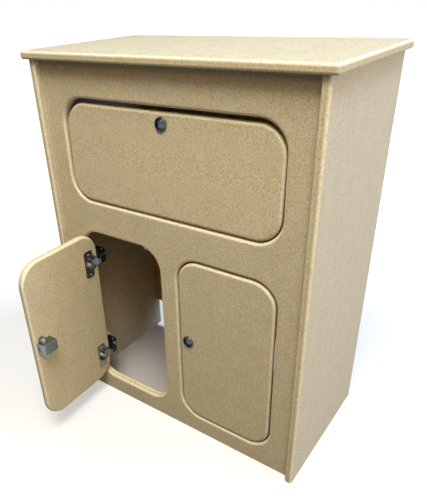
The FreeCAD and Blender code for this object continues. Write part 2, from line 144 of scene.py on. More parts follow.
@dataclass(frozen=True)
class RawFibreboard:
    """Medium-density fibreboard, sawn, routed and sanded, with no finish on it.

    The pressed faces are tan and faintly mottled. Where the router has opened the core, on edges and
    round-overs, it is woollier and paler: partly its own colour and partly a painted highlight on the
    round-overs.
    """

    face_light: str = "#ccbf9d"
    face_dark: str = "#c3b694"
    fleck: str = "#8f7b58"
    straw: str = "#e2d4ae"
    blush: str = "#cfb594"
    # the core's pale colour, partly its own and partly a painted highlight on the round-overs
    core_pale_and_highlight: str = "#e4dabc"
    # the darker middle of the core; a front's darker value here is painted shade in the gaps round it
    core_dark: str = "#c8b98f"
    cloud_mm: float = 30.0
    mottle_mm: float = 7.0
    blush_mm: float = 11.0
    # fibre clumps are really about 1 mm across, drawn coarser so that they show
    speck_mm: float = 2.7
    fibre_mm: float = 1.4
    # how squarely a surface faces out of the panel, from routed edge to pressed face
    face_turn: Span = (0.86, 0.985)
    # where the dark middle of the core gives way, in shares of half the thickness
    core_fade: Span = (0.1, 0.7)
    # the two blotch patterns added, from the dark tone to the light one
    blotch_fade: Span = (0.78, 1.22)
    # for each kind of fibre, the pattern's levels where it starts and is strongest, and its largest share
    straw_fade: Span = (0.5, 0.72)
    straw_share: float = 0.62
    fleck_fade: Span = (0.5, 0.28)
    fleck_share: float = 0.54
    hair_fade: Span = (0.58, 0.8)
    hair_share: float = 0.4
    blush_fade: Span = (0.48, 0.72)
    blush_share: float = 0.3
    # a cut through the blush pattern that is unlike the cloud pattern's
    blush_cut: float = 3.0
    wool_mm: float = 0.3
    wool_strength: float = 0.25
    roughness: float = 0.78
    rough_play: Span = (-0.06, 0.08)
    specular: float = 0.1

    def make(self, name: str, normal: Vector, middle: float, half: float) -> bpy.types.Material:
        """Build the board for a panel.

        Args:
            name: the material's name.
            normal: the direction through the panel's thickness.
            middle: where the panel's middle lies along that direction, in metres.
            half: half of the panel's thickness, in metres.

        Returns:
            The material.
        """
        material, tree = blank_material(name)
        place = put(tree, "ShaderNodeTexCoord")
        spot = place.outputs["Object"]
        mottle = put(tree, "ShaderNodeTexNoise", {"Vector": spot, "Scale": per_metre(self.mottle_mm),
                                                  "Detail": 4.0, "Roughness": 0.6})
        fibre = put(tree, "ShaderNodeTexNoise", {"Vector": spot, "Scale": per_metre(self.fibre_mm),
                                                 "Detail": 2.0, "Roughness": 0.7})

        # the pressed face where the surface faces out of the panel, and the core elsewhere
        facing = put(tree, "ShaderNodeVectorMath", {0: place.outputs["Normal"], 1: normal},
                     operation="DOT_PRODUCT")
        flat = put(tree, "ShaderNodeMath", {0: facing.outputs["Value"]}, operation="ABSOLUTE")
        face = put(tree, "ShaderNodeMapRange", {0: flat.outputs[0], 1: self.face_turn[0],
                                                2: self.face_turn[1]}, interpolation_type="SMOOTHSTEP")
        body = put(tree, "ShaderNodeMix", {0: face.outputs[0],
                                           6: self.core_colour(tree, spot, normal, middle, half),
                                           7: self.face_colour(tree, spot, mottle.outputs[0])},
                   data_type="RGBA")

        wool = put(tree, "ShaderNodeMath", {0: mottle.outputs[0], 1: fibre.outputs[0]}, operation="ADD")
        bump = put(tree, "ShaderNodeBump", {"Strength": self.wool_strength, "Distance": self.wool_mm * MM,
                                            "Height": wool.outputs[0]})
        rough = put(tree, "ShaderNodeMapRange", {0: fibre.outputs[0], 1: NOISE_SPAN[0], 2: NOISE_SPAN[1],
                                                 3: self.roughness + self.rough_play[0],
                                                 4: self.roughness + self.rough_play[1]})
        shader = put(tree, "ShaderNodeBsdfPrincipled", {
            "Base Color": self.with_fibres(tree, spot, fibre.outputs[0], body.outputs[2]),
            "Roughness": rough.outputs[0], "Specular IOR Level": self.specular, "Normal": bump.outputs[0]})
        put(tree, "ShaderNodeOutputMaterial", {"Surface": shader.outputs[0]})
        return material

    def face_colour(self, tree: bpy.types.NodeTree, spot: Socket, mottle: Socket) -> Socket:
        """Colour the pressed faces, tan with faint blotches.

        Args:
            tree: the material's node tree.
            spot: the place on the panel.
            mottle: the smaller of the two blotch patterns.

        Returns:
            The colour.
        """
        cloud = put(tree, "ShaderNodeTexNoise", {"Vector": spot, "Scale": per_metre(self.cloud_mm),
                                                 "Detail": 3.0})
        blotch = put(tree, "ShaderNodeMath", {0: cloud.outputs[0], 1: mottle}, operation="ADD")
        tone = put(tree, "ShaderNodeMapRange", {0: blotch.outputs[0], 1: self.blotch_fade[0],
                                                2: self.blotch_fade[1]})
        skin = put(tree, "ShaderNodeMix", {0: tone.outputs[0], 6: linear(self.face_dark),
                                           7: linear(self.face_light)}, data_type="RGBA")
        return skin.outputs[2]

    def core_colour(self, tree: bpy.types.NodeTree, spot: Socket, normal: Vector, middle: float,
                    half: float) -> Socket:
        """Colour the opened core by its depth, darker in the middle of the board.

        Args:
            tree: the material's node tree.
            spot: the place on the panel.
            normal: the direction through the panel's thickness.
            middle: where the panel's middle lies along that direction, in metres.
            half: half of the panel's thickness, in metres.

        Returns:
            The colour.
        """
        depth = put(tree, "ShaderNodeVectorMath", {0: spot, 1: normal}, operation="DOT_PRODUCT")
        offset = put(tree, "ShaderNodeMath", {0: depth.outputs["Value"], 1: middle}, operation="SUBTRACT")
        away = put(tree, "ShaderNodeMath", {0: offset.outputs[0]}, operation="ABSOLUTE")
        layer = put(tree, "ShaderNodeMapRange", {0: away.outputs[0], 1: self.core_fade[0] * half,
                                                 2: self.core_fade[1] * half},
                    interpolation_type="SMOOTHSTEP")
        core = put(tree, "ShaderNodeMix", {0: layer.outputs[0], 6: linear(self.core_dark),
                                           7: linear(self.core_pale_and_highlight)}, data_type="RGBA")
        return core.outputs[2]

    def with_fibres(self, tree: bpy.types.NodeTree, spot: Socket, fibre: Socket, colour: Socket) -> Socket:
        """Lay pale and dark fibre clumps, fine dark hairs and a rosy cast in places over the board.

        Args:
            tree: the material's node tree.
            spot: the place on the panel.
            fibre: the pattern of the fine hairs.
            colour: the board's colour under them.

        Returns:
            The colour with all four.
        """
        speck = put(tree, "ShaderNodeTexNoise", {"Vector": spot, "Scale": per_metre(self.speck_mm),
                                                 "Detail": 2.0, "Roughness": 0.6})
        rosy = put(tree, "ShaderNodeTexNoise", {"Vector": spot, "Scale": per_metre(self.blush_mm),
                                                "Detail": 3.0, "W": self.blush_cut}, noise_dimensions="4D")
        for pattern, fade, share, tint in (
                (speck.outputs[0], self.straw_fade, self.straw_share, self.straw),
                (speck.outputs[0], self.fleck_fade, self.fleck_share, self.fleck),
                (fibre, self.hair_fade, self.hair_share, self.fleck),
                (rosy.outputs[0], self.blush_fade, self.blush_share, self.blush)):
            strength = put(tree, "ShaderNodeMapRange", {0: pattern, 1: fade[0], 2: fade[1], 3: 0.0, 4: share})
            layer = put(tree, "ShaderNodeMix", {0: strength.outputs[0], 6: colour, 7: linear(tint)},
                        data_type="RGBA")
            colour = layer.outputs[2]
        return colour


@dataclass(frozen=True)
class PlanedTimber:
    """Planed softwood battens, packers and dowels: straight grain, paler between darker late-wood lines."""

    pale: str = "#d8bd8c"
    line: str = "#b48a55"
    ring_mm: float = 6.0
    pore_mm: float = 1.0
    # how much of the pattern's change along the grain is taken out
    stretch: float = 0.94
    waver: float = 0.6
    line_fade: Span = (0.4, 0.62)
    relief_mm: float = 0.2
    relief_strength: float = 0.2
    roughness: float = 0.66
    specular: float = 0.35

    def make(self, name: str, along: Vector) -> bpy.types.Material:
        """Build the timber.

        Args:
            name: the material's name.
            along: the direction of the grain.

        Returns:
            The material.
        """
        material, tree = blank_material(name)
        spot = put(tree, "ShaderNodeTexCoord").outputs["Object"]
        squeeze = Vector((1, 1, 1)) - self.stretch * Vector([abs(v) for v in along])
        stretched = put(tree, "ShaderNodeVectorMath", {0: spot, 1: squeeze}, operation="MULTIPLY")
        ring = put(tree, "ShaderNodeTexNoise", {"Vector": stretched.outputs[0], "Detail": 2.0,
                                                "Scale": per_metre(self.ring_mm), "Distortion": self.waver})
        pore = put(tree, "ShaderNodeTexNoise", {"Vector": stretched.outputs[0],
                                                "Scale": per_metre(self.pore_mm)})
        grain = put(tree, "ShaderNodeMapRange", {0: ring.outputs[0], 1: self.line_fade[0],
                                                 2: self.line_fade[1]}, interpolation_type="SMOOTHSTEP")
        colour = put(tree, "ShaderNodeMix", {0: grain.outputs[0], 6: linear(self.line), 7: linear(self.pale)},
                     data_type="RGBA")
        bump = put(tree, "ShaderNodeBump", {"Strength": self.relief_strength, "Distance": self.relief_mm * MM,
                                            "Height": pore.outputs[0]})
        shader = put(tree, "ShaderNodeBsdfPrincipled", {
            "Base Color": colour.outputs[2], "Roughness": self.roughness,
            "Specular IOR Level": self.specular, "Normal": bump.outputs[0]})
        put(tree, "ShaderNodeOutputMaterial", {"Surface": shader.outputs[0]})
        return material


@dataclass(frozen=True)
class Metal:
    """A bare or plated metal: a tint, a mean roughness and the size of its scuffs or casting grain."""

    tint: str
    shade: str
    roughness: float
    scuff: float
    grain_mm: float
    relief_mm: float
    relief_strength: float = 0.3

    def make(self, name: str) -> bpy.types.Material:
        """Build the metal.

        Args:
            name: the material's name.

        Returns:
            The material.
        """
        material, tree = blank_material(name)
        spot = put(tree, "ShaderNodeTexCoord").outputs["Object"]
        grain = put(tree, "ShaderNodeTexNoise", {"Vector": spot, "Scale": per_metre(self.grain_mm),
                                                 "Detail": 3.0})
        colour = put(tree, "ShaderNodeMix", {0: grain.outputs[0], 6: linear(self.shade),
                                             7: linear(self.tint)}, data_type="RGBA")
        rough = put(tree, "ShaderNodeMapRange", {0: grain.outputs[0], 1: NOISE_SPAN[0], 2: NOISE_SPAN[1],
                                                 3: self.roughness - self.scuff,
                                                 4: self.roughness + self.scuff})
        bump = put(tree, "ShaderNodeBump", {"Strength": self.relief_strength, "Distance": self.relief_mm * MM,
                                            "Height": grain.outputs[0]})
        shader = put(tree, "ShaderNodeBsdfPrincipled", {
            "Base Color": colour.outputs[2], "Metallic": 1.0, "Roughness": rough.outputs[0],
            "Normal": bump.outputs[0]})
        put(tree, "ShaderNodeOutputMaterial", {"Surface": shader.outputs[0]})
        return material


@dataclass(frozen=True)
class Coating:
    """A coat or moulding that is not metal: a colour with a slight unevenness and a fine orange peel."""

    light: str
    dark: str
    roughness: float
    peel_mm: float
    specular: float = 0.5
    relief_mm: float = 0.1
    relief_strength: float = 0.2

    def make(self, name: str) -> bpy.types.Material:
        """Build the coat.

        Args:
            name: the material's name.

        Returns:
            The material.
        """
        material, tree = blank_material(name)
        spot = put(tree, "ShaderNodeTexCoord").outputs["Object"]
        peel = put(tree, "ShaderNodeTexNoise", {"Vector": spot, "Scale": per_metre(self.peel_mm),
                                                "Detail": 2.0})
        colour = put(tree, "ShaderNodeMix", {0: peel.outputs[0], 6: linear(self.dark), 7: linear(self.light)},
                     data_type="RGBA")
        bump = put(tree, "ShaderNodeBump", {"Strength": self.relief_strength, "Distance": self.relief_mm * MM,
                                            "Height": peel.outputs[0]})
        shader = put(tree, "ShaderNodeBsdfPrincipled", {
            "Base Color": colour.outputs[2], "Roughness": self.roughness,
            "Specular IOR Level": self.specular, "Normal": bump.outputs[0]})
        put(tree, "ShaderNodeOutputMaterial", {"Surface": shader.outputs[0]})
        return material


# polished chrome on the knobs and rings, its tint darkened as a painted reflection of a dark room, with sharp
# glints from the lamps
CHROME_WITH_PAINTED_DARK_REFLECTION = Metal("#555c61", "#4a5156", roughness=0.06, scuff=0.03, grain_mm=5.0, relief_mm=0.01)
# satin nickel on the pressed hinge cups, a soft warm grey
NICKEL_PLATE = Metal("#b2b1ab", "#989792", roughness=0.3, scuff=0.08, grain_mm=3.0, relief_mm=0.02)
# steel arms and links, darker and bluish
STEEL_LINK = Metal("#616b6f", "#4f595d", roughness=0.26, scuff=0.08, grain_mm=3.0, relief_mm=0.02)
# die-cast zinc lock cases, grey and faintly grainy
CAST_ZINC = Metal("#8a9293", "#747c7e", roughness=0.36, scuff=0.08, grain_mm=1.6, relief_mm=0.06)
# bright zinc plate on the screws
ZINC_PLATE = Metal("#bdbcb8", "#9a9995", roughness=0.3, scuff=0.08, grain_mm=2.0, relief_mm=0.02)
# black coated steel strips, dull; on the hinge plates the same black is painted shade where they sit in the
# shade of the fronts
BLACK_STEEL_AND_PAINTED_SHADE = Coating("#151413", "#0f0e0e", roughness=0.55, peel_mm=1.5, specular=0.2)
# moulded nylon door stops, milky white
WHITE_NYLON = Coating("#e4e2dc", "#d8d6cf", roughness=0.5, peel_mm=2.0)


def record_joint(name: str) -> dict:
    """Return a joint of the record by its name."""
    return next(j for j in frame["record"]["behaviour"]["joints"] if j["name"] == name)


def dress(node: str, material: bpy.types.Material) -> None:
    """Give a node of the frame its finish.

    Args:
        node: the node's name.
        material: the finish.
    """
    target = frame["nodes"][node]
    meshes = [o for o in (target, *target.children_recursive) if o.type == "MESH"]
    for piece in meshes:
        piece.data.materials.clear()
        piece.data.materials.append(material)
    log.info("dressed %s", node)


def middle_of(node: str) -> Vector:
    """Return the middle of a node's box, in metres."""
    low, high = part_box(node)
    return (Vector(low) + Vector(high)) / 2


Solid = tuple[np.ndarray, list[list[int]]]


def spin(profile: np.ndarray, steps: int = 48) -> Solid:
    """Turn a profile about the z axis.

    Row (r, h) of the profile becomes the circle (r cos a, r sin a, h) over the angles a. The first and last
    rows lie on the axis, and each becomes one point.

    Args:
        profile: rows of radius and height in millimetres, from the upper pole to the lower one.
        steps: points round the axis.

    Returns:
        The points in millimetres, and the faces as point numbers, all facing outward.
    """
    angle = np.arange(steps) * (2 * math.pi / steps)
    radius, height = profile[1:-1, 0], profile[1:-1, 1]
    circles = np.stack([np.outer(radius, np.cos(angle)), np.outer(radius, np.sin(angle)),
                        np.repeat(height[:, None], steps, 1)], -1).reshape(-1, 3)
    points = np.concatenate([[[0.0, 0.0, profile[0, 1]]], circles, [[0.0, 0.0, profile[-1, 1]]]])
    index = 1 + np.arange(radius.size * steps).reshape(-1, steps)
    turned = np.roll(index, -1, 1)
    quads = np.stack([index[:-1], index[1:], turned[1:], turned[:-1]], -1).reshape(-1, 4)
    top = np.stack([np.zeros(steps, int), index[0], turned[0]], -1)
    bottom = np.stack([np.full(steps, len(points) - 1), turned[-1], index[-1]], -1)
    return points, [*quads.tolist(), *top.tolist(), *bottom.tolist()]


def spin_ring(profile: np.ndarray, steps: int = 72) -> Solid:
    """Turn a closed profile that stays clear of the z axis.

    Row (r, h) becomes the circle (r cos a, r sin a, h), and the last row joins the first.

    Args:
        profile: rows of radius and height in millimetres, clockwise with r to the right and h up.
        steps: points round the axis.

    Returns:
        The points in millimetres, and the faces as point numbers, all facing outward.
    """
    angle = np.arange(steps) * (2 * math.pi / steps)
    points = np.stack([np.outer(profile[:, 0], np.cos(angle)), np.outer(profile[:, 0], np.sin(angle)),
                       np.repeat(profile[:, 1:], steps, 1)], -1).reshape(-1, 3)
    index = np.arange(len(points)).reshape(-1, steps)
    below = np.roll(index, -1, 0)
    quads = np.stack([index, below, np.roll(below, -1, 1), np.roll(index, -1, 1)], -1).reshape(-1, 4)
    return points, quads.tolist()


def rounded(corners: list[tuple[float, float, float]], steps: int = 5) -> np.ndarray:
    """Round the corners of a profile.

    Each corner with a radius is replaced by a quadratic curve whose control point is the corner and whose
    ends lie that radius away along its two sides.

    Args:
        corners: radius, height and rounding of each corner in millimetres, from end to end.
        steps: points on each rounding.

    Returns:
        The rows of radius and height.
    """
    points = np.array(corners)
    t = np.linspace(0, 1, steps)[:, None]
    rows = [points[:1, :2]]
    for before, corner, after in zip(points[:-2], points[1:-1], points[2:]):
        spot, size = corner[:2], corner[2]
        back, ahead = before[:2] - spot, after[:2] - spot
        start = spot + back * size / np.linalg.norm(back)
        end = spot + ahead * size / np.linalg.norm(ahead)
        rows.append((1 - t) ** 2 * start + 2 * t * (1 - t) * spot + t ** 2 * end if size else spot[None])
    return np.concatenate([*rows, points[-1:, :2]])


def sink_cross(points: np.ndarray, arm: float, half: float, depth: float, ramp: float = 0.3) -> np.ndarray:
    """Sink a cross into the upper face of a turned head.

    Each of two slots is one ramp up from its side, half - |y|, times one up from its end, arm - |x|, and the
    face drops by the depth times the larger.

    Args:
        points: the head's points, in millimetres.
        arm: the cross's reach from the axis, in millimetres.
        half: half of a slot's width, in millimetres.
        depth: the cross's depth, in millimetres.
        ramp: how far the slots' walls slope, in millimetres.

    Returns:
        The points with the cross.
    """
    x, y, z = np.abs(points[:, 0]), np.abs(points[:, 1]), points[:, 2]
    slots = [np.clip((half - b) / ramp, 0, 1) * np.clip((arm - a) / ramp, 0, 1) for a, b in ((x, y), (y, x))]
    upper = z > z.max() - depth
    return points - np.stack([0 * x, 0 * x, depth * np.maximum(*slots) * upper], -1)


def seat(solid: Solid, place: Vector, outward: Vector, twist: float = 0.0) -> Solid:
    """Stand a piece made about the z axis somewhere else.

    Args:
        solid: the piece, in millimetres.
        place: where its origin goes, in metres.
        outward: where its z axis points.
        twist: its turn about that axis, in radians.

    Returns:
        The piece in place, in metres.
    """
    turn = outward.to_track_quat("Z", "Y").to_matrix() @ Matrix.Rotation(twist, 3, "Z")
    return solid[0] @ np.array(turn).T * MM + np.array(place), solid[1]


def add_piece(name: str, solids: list[Solid], material: bpy.types.Material, body: str, slot: Slot,
              *nodes: str) -> None:
    """Add one piece made of some closed solids.

    Args:
        name: the piece's name.
        solids: its solids, in metres.
        material: its finish.
        body: the body that carries it.
        slot: the record's slot that the finish belongs to; not used.
        nodes: the nodes that it stands for.
    """
    starts = np.cumsum([0] + [len(points) for points, _ in solids])
    faces = [(np.array(face) + start).tolist() for start, (_, some) in zip(starts, solids) for face in some]
    mesh = bpy.data.meshes.new(name)
    mesh.from_pydata(np.concatenate([points for points, _ in solids]).tolist(), [], faces)
    mesh.shade_smooth()
    mesh.set_sharp_from_angle(angle=CRISP_TURN)
    mesh.materials.append(material)
    piece = bpy.data.objects.new(name, mesh)
    bpy.context.scene.collection.objects.link(piece)
    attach(piece, body)
    if nodes:
        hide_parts(*nodes)
    log.info("built %s: %d faces", name, len(faces))


@dataclass(frozen=True)
class Screw:
    """A cross-head screw, countersunk or with a raised head, in millimetres."""

    head_radius: float = 3.4
    head_height: float = 0.0
    shank_radius: float = 1.75
    length: float = 13.0
    arm: float = 2.1
    half: float = 0.55
    depth: float = 1.1
    # the crown's reach and its fall at the rim, in shares of the head's radius
    crown_reach: float = 0.92
    crown_fall: float = 0.12
    rim_fall: float = 0.1
    rim_lip: float = 0.05
    rim_side: float = 0.3
    rim_break: float = 0.06
    rings: int = 14
    steps: int = 40

    def solid(self) -> Solid:
        """Turn the screw: its head at or above the origin, its shank down the z axis."""
        rings = np.linspace(0.0, self.crown_reach, self.rings)
        fall = self.crown_fall if self.head_height else 0.0
        crown = self.head_height - fall * self.head_radius * rings ** 2
        if self.head_height:
            edge = crown[-1] - self.rim_fall
            side = [(self.head_radius, edge - self.rim_lip),
                    (self.head_radius, min(edge - self.rim_side, 0.0)), (self.shank_radius, 0.0)]
        else:
            side = [(self.head_radius - self.rim_break, -self.rim_break),
                    (self.shank_radius, self.shank_radius - self.head_radius)]
        shank = [(self.shank_radius, self.shank_radius - self.length),
                 (self.shank_radius / 2, -self.length), (0.0, -self.length)]
        top = np.stack([rings * self.head_radius, crown], -1)
        points, faces = spin(np.concatenate([top, side, shank]), self.steps)
        return sink_cross(points, self.arm, self.half, self.depth), faces


SHORT_SCREW = Screw()
LONG_SCREW = Screw(length=30.0)
ARM_SCREW = Screw(head_radius=4.0, head_height=2.2, shank_radius=2.0, length=6.0, arm=2.4, half=0.6,
                  depth=1.2)
BOSS_SCREW = Screw(head_radius=5.4, head_height=2.4, length=6.0, arm=3.4, half=0.8, depth=1.5)
ADJUSTER = Screw(head_radius=2.3, head_height=1.0, shank_radius=1.2, length=4.0, arm=1.5, half=0.4,
                 depth=0.6)


@dataclass(frozen=True)
class ScrewRow:
    """The same screw at each hinge of a front.

    It has its place along u and w in millimetres, the node that says where a hinge is, how far the heads are
    turned per millimetre along the hinge and per letter of its name, and the pitch where a hinge has two.
    """

    screw: Screw
    place: Span
    node: str
    turn: Span
    pitch: float = 0.0


WING_ROW = ScrewRow(SHORT_SCREW, (30.0, 16.2), "hinge_cup", (0.3, 1.0), 48.0)
PLATE_ROW = ScrewRow(LONG_SCREW, (14.0, 38.5), "hinge_plate", (0.2, 1.0), 22.0)
ARM_ROW = ScrewRow(ARM_SCREW, (17.0, 38.0), "hinge_plate", (0.0, 0.7))
ADJUSTER_ROW = ScrewRow(ADJUSTER, (17.0, 45.2), "hinge_arm", (0.0, 0.4))


@dataclass(frozen=True)
class Axes:
    """A front's own axes: u from its hinge edge, w inward and v along the hinge."""

    origin: Vector
    u: Vector
    w: Vector

    @property
    def v(self) -> Vector:
        """The direction along the hinge."""
        return self.u.cross(self.w)

    def at(self, u: float, w: float, v: float) -> Vector:
        """Return the place, in metres, of a point given in millimetres."""
        return self.origin + (u * self.u + w * self.w + v * self.v) * MM

    def along(self, node: str) -> float:
        """Return how far along the hinge a node's middle is, in millimetres."""
        return (middle_of(node) - self.origin).dot(self.v) / MM


@dataclass
class Carcass:
    """The fixed panels with their battens, packers, dowels and small fittings."""

    batten: float = 20.0 * MM
    batten_shares: tuple[float, ...] = (0.15, 0.5, 0.85)
    strike_pitch: float = 26.0 * MM
    keeper_pitch: float = 18.0 * MM
    keeper_thick: float = 2.0 * MM
    keeper_height: float = 22.0 * MM
    stop_width: float = 16.0 * MM
    stop_tail: float = 24.0 * MM
    # each fitting screw's head is turned its own way, in radians per metre of height
    screw_turn: float = 9.0

    def build(self) -> None:
        """Build the screws of the battens, the strikes, the keeper and the door stops."""
        zinc = ZINC_PLATE.make("zinc_plated_screws")
        add_piece("worktop_screws", self.worktop_screws(), zinc, "carcass", Slot.SCREW_STEEL, "batten_screws")
        short = SHORT_SCREW.solid()
        screws = [seat(short, place, Vector((0, 1, 0)), self.screw_turn * place.z)
                  for place in self.fitting_places()]
        add_piece("fitting_screws", screws, zinc, "carcass", Slot.SCREW_STEEL, "strike_screws")

    def worktop_screws(self) -> list[Solid]:
        """Return the screws from the battens up into the worktop and out into the side panels."""
        low, high = (Vector(corner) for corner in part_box("worktop_battens"))
        half, long = self.batten / 2, LONG_SCREW.solid()
        screws = []
        for side in (-1, 1):
            for share in self.batten_shares:
                y = low.y + share * (high.y - low.y)
                up = Vector((side * (high.x - half), y - half, low.z))
                out = Vector((side * (high.x - self.batten), y + half, high.z - half))
                screws.append(seat(long, up, Vector((0, 0, -1)), share))
                screws.append(seat(long, out, Vector((-side, 0, 0)), 2 * share))
        return screws

    def fitting_places(self) -> list[Vector]:
        """Return where the screws of the strikes, the keeper and the door stops go in."""
        places = []
        for node in ("strike_left", "strike_right"):
            spot, rear = middle_of(node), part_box(node)[1][1]
            places += [Vector((spot.x, rear, spot.z + side * self.strike_pitch / 2)) for side in (-1, 1)]
        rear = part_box("front_panel")[1][1] + self.keeper_thick
        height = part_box("flap_keeper")[1][2] - self.keeper_height / 2
        places += [Vector((side * self.keeper_pitch / 2, rear, height)) for side in (-1, 1)]
        low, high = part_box("door_stops")
        middles = (low[0] + self.stop_width / 2, high[0] - self.stop_width / 2)
        return places + [Vector((x, high[1], high[2] - self.stop_tail / 2)) for x in middles]

    def dress(self) -> None:
        """Give every fixed piece its finish."""
        across = {"worktop": (0, 0, 1), "shelf": (0, 0, 1), "side_panel_left": (1, 0, 0),
                  "side_panel_right": (1, 0, 0), "centre_divider": (1, 0, 0), "front_panel": (0, 1, 0),
                  "back_panel": (0, 1, 0)}
        # the side panels' board is paler and greyer, painted light for the cool light on them, and the
        # worktop's is darker, painted shade that takes down the light on its top
        side = RawFibreboard(face_light="#cdc4ab", face_dark="#c4baa0")
        sheets = {"worktop": RawFibreboard(face_light="#b4ab90", face_dark="#aaa186", straw="#c9c0a6"),
                  "side_panel_right": side, "side_panel_left": side,
                  "back_panel": RawFibreboard(face_light="#c49a62", face_dark="#b0854e", fleck="#7d5830",
                                              straw="#d6b27c")}
        for node, axis in across.items():
            normal = Vector(axis)
            sheet = sheets.get(node, RawFibreboard())
            dress(node, sheet.make("raw_fibreboard_" + node, normal, middle_of(node).dot(normal), BOARD / 2))
        grain = {"worktop_battens": (0, 1, 0), "carcass_dowels": (1, 0, 0), "hinge_packers_left": (0, 0, 1),
                 "hinge_packers_right": (0, 0, 1)}
        for node, along in grain.items():
            dress(node, PlanedTimber().make("planed_softwood_" + node, Vector(along)))
        black = BLACK_STEEL_AND_PAINTED_SHADE.make("black_coated_steel")
        for node in ("strike_left", "strike_right", "flap_keeper"):
            dress(node, black)
        dress("door_stops", WHITE_NYLON.make("white_nylon"))


@dataclass
class HingedFront:
    """A door or the flap, with its hinges and its lock.

    Lengths are in millimetres. Pairs are a place along u and w of the front's own axes.
    """

    name: str
    body: str
    spots: tuple[str, str]
    across: Place
    lock_u: float
    lock_v: float
    knob_face: float
    # the middle of the routed edges; the right door's and the flap's darker brown is painted shade in the
    # gaps round them
    edge: str
    cup_pivot: Span = (15.5, 9.0)
    arm_pivot: Span = (35.2, 12.0)
    knob_radius: float = 10.4
    knob_length: float = 14.0
    knob_dome: float = 16.0
    knob_steps: int = 72
    # the knob's shoulder, as rows in from its side and down from the dome's edge
    dome_inset: float = 0.5
    shoulder: tuple[Span, ...] = ((0.2, 0.3), (0.04, 0.6), (0.0, 0.9))
    # the groove's place as a share of the radius, its shape, and the rows drawn close together over it
    groove_share: float = 0.84
    groove_depth: float = 0.28
    groove_width: float = 0.16
    groove_rows: float = 0.24
    groove_clear: float = 0.4
    bezel_bore: float = 10.72
    bezel_radius: float = 13.0
    bezel_height: float = 3.0
    lug_radius: float = 6.8
    lug_height: float = 12.0
    lug_break: float = 0.9
    lug_u: float = 3.0
    lug_v: float = 17.1
    fixing_turn: float = 0.5

    def swung(self) -> Axes:
        """Return the axes of the front as it stands."""
        u = Vector(record_joint(self.name + "_tongue_slide")["axis"])
        w = -Vector(record_joint(self.name + "_knob_push")["axis"])
        pivot = Vector(record_joint(self.body + "_swing")["pos_m"])
        return Axes(pivot - (self.cup_pivot[0] * u + self.cup_pivot[1] * w) * MM, u, w)

    def fixed(self) -> Axes:
        """Return the axes that the front has when shut, in which its hinge plates stand."""
        u, w = Vector(self.across), Vector((0, 1, 0))
        pivot = Vector(record_joint(self.name + "_links_swing")["pos_m"])
        return Axes(pivot - (self.arm_pivot[0] * u + self.arm_pivot[1] * w) * MM, u, w)

    def build(self) -> None:
        """Build the lock's turned pieces, its fixing lugs and the hinges' screws."""
        zinc = ZINC_PLATE.make("zinc_plated_screws_" + self.name)
        self.build_lock(zinc)
        swung = self.swung()
        add_piece("wing_screws_" + self.name, self.screw_row(WING_ROW, swung, swung.w), zinc, self.body,
                  Slot.SCREW_STEEL, "cup_screws_" + self.name)
        add_piece("hinge_adjusters_" + self.name, self.fixed_row(ADJUSTER_ROW), zinc, "carcass",
                  Slot.SCREW_STEEL)

    def build_lock(self, zinc: bpy.types.Material) -> None:
        """Build the knob, the ring round it and the two lugs with their screws.

        Args:
            zinc: the screws' finish.
        """
        axes = self.swung()
        # the chrome's dark tint is a painted reflection of a dark room
        chrome = CHROME_WITH_PAINTED_DARK_REFLECTION.make("chrome_plate_" + self.name)
        outside = axes.at(self.lock_u, 0.0, self.lock_v)
        add_piece("knob_" + self.name, [seat(self.knob(), outside, -axes.w)], chrome, self.name + "_knob",
                  Slot.CHROME, "lock_knob_" + self.name)
        add_piece("bezel_" + self.name, [seat(self.bezel(), outside, -axes.w)], chrome, self.body,
                  Slot.CHROME, "lock_bezel_" + self.name)
        lugs, fixings = [], []
        for side in (-1, 1):
            foot = axes.at(self.lock_u + self.lug_u, BOARD / MM, self.lock_v + side * self.lug_v)
            lugs.append(seat(self.lug(), foot, axes.w))
            head = foot + axes.w * self.lug_height * MM
            fixings.append(seat(BOSS_SCREW.solid(), head, axes.w, self.fixing_turn + side))
        cast = CAST_ZINC.make("die_cast_zinc_lugs_" + self.name)
        add_piece("lock_lugs_" + self.name, lugs, cast, self.body, Slot.ZINC)
        add_piece("lock_fixings_" + self.name, fixings, zinc, self.body, Slot.SCREW_STEEL)

    def screw_row(self, row: ScrewRow, axes: Axes, outward: Vector) -> list[Solid]:
        """Seat a row's screws, one or two per hinge.

        Args:
            row: the screw and its place.
            axes: the front's axes, swung or fixed.
            outward: where the heads face.

        Returns:
            The screws in place.
        """
        solid, sides = row.screw.solid(), (-row.pitch / 2, row.pitch / 2) if row.pitch else (0.0,)
        return [seat(solid, axes.at(*row.place, axes.along(f"{row.node}_{self.name}_{spot}") + side), outward,
                     row.turn[0] * side + row.turn[1] * len(spot))
                for spot in self.spots for side in sides]

    def fixed_row(self, row: ScrewRow) -> list[Solid]:
        """Return a row of screws that stays with the carcass."""
        still = self.fixed()
        return self.screw_row(row, still, still.u)

    def knob(self) -> Solid:
        """Turn the knob: a dome with a fine groove over a straight barrel.

        The dome's height at a radius r is H - R + sqrt(R R - r r), less the groove.
        """
        line = self.groove_share * self.knob_radius
        r = np.concatenate([np.linspace(0, line - self.groove_clear, 24),
                            line + np.linspace(-self.groove_rows, self.groove_rows, 5),
                            np.linspace(line + self.groove_clear, self.knob_radius - self.dome_inset, 6)])
        groove = self.groove_depth * np.exp(-((r - line) / self.groove_width) ** 2)
        dome = self.knob_face - self.knob_dome + np.sqrt(self.knob_dome ** 2 - r ** 2) - groove
        low = self.knob_face - self.knob_length
        barrel = [(self.knob_radius - inward, dome[-1] - down) for inward, down in self.shoulder]
        foot = [(self.knob_radius, low), (0.0, low)]
        return spin(np.concatenate([np.stack([r, dome], -1), barrel, foot]), self.knob_steps)

    def bezel(self) -> Solid:
        """Turn the ring: a rolled lip round the bore that falls in a curve to a thin foot."""
